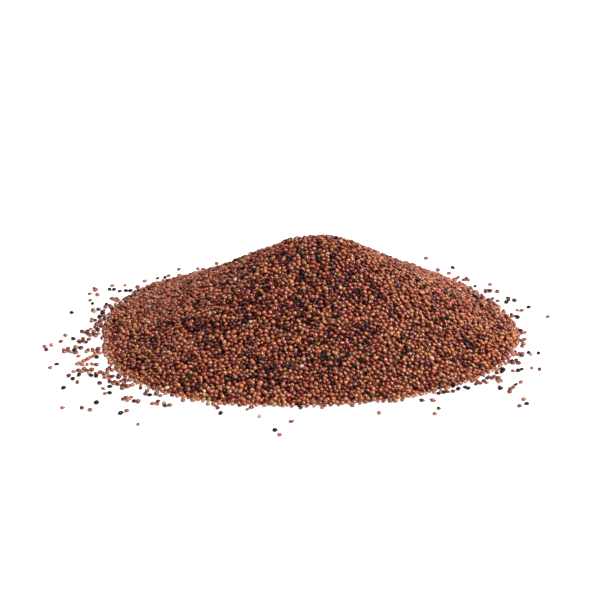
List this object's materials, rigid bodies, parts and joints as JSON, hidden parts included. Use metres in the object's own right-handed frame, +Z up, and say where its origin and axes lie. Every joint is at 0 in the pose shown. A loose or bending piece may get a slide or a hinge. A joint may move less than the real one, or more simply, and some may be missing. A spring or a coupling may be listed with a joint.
{
  "type": "heap of kaniwa seeds",
  "caption": "Loose heap of small dry kaniwa seeds, russet to black, a low rounded cone with an uneven rim and stray seeds scattered round it.",
  "frame": {"origin": "middle of the heap's flat underside, on the table plane", "axes": "+Z up from the table, -Y towards the side that the picture shows, +X to the right in the picture"},
  "size_m": [0.1166, 0.1137, 0.023],
  "materials": {
    "russet": "satin seed coat, rusty red-brown",
    "copper": "satin seed coat, orange-brown",
    "chestnut": "satin seed coat, dark brown",
    "plum": "satin seed coat, dark maroon",
    "black": "smooth satin seed coat, near black",
    "tan": "matte seed coat, tan to olive",
    "cream": "matte hulled seed, pale cream"
  },
  "bodies": {
    "root": {"heap": "russet", "stray_01": "russet", "stray_02": "black", "stray_03": "chestnut", "stray_04": "copper", "stray_05": "plum", "stray_06": "russet", "stray_07": "black", "stray_08": "tan", "stray_09": "chestnut", "stray_10": "russet", "stray_11": "black", "stray_12": "copper", "stray_13": "plum", "stray_14": "russet", "stray_15": "black", "stray_16": "cream", "stray_17": "russet", "stray_18": "black", "stray_19": "chestnut", "stray_20": "copper", "stray_21": "plum", "stray_22": "russet", "stray_23": "black", "stray_24": "tan", "stray_25": "chestnut", "stray_26": "russet", "stray_27": "black", "stray_28": "copper", "stray_29": "plum", "stray_30": "russet", "stray_31": "black", "stray_32": "cream", "stray_33": "russet", "stray_34": "black", "stray_35": "chestnut", "stray_36": "copper", "stray_37": "plum", "stray_38": "russet", "stray_39": "black", "stray_40": "tan", "stray_41": "chestnut", "stray_42": "russet", "stray_43": "black", "stray_44": "copper", "stray_45": "plum", "stray_46": "russet", "stray_47": "black", "stray_48": "cream", "stray_49": "russet", "stray_50": "black", "stray_51": "chestnut", "stray_52": "copper", "stray_53": "plum", "stray_54": "russet", "stray_55": "black", "stray_56": "tan", "stray_57": "chestnut", "stray_58": "russet", "stray_59": "black"}
  },
  "joints": []
}
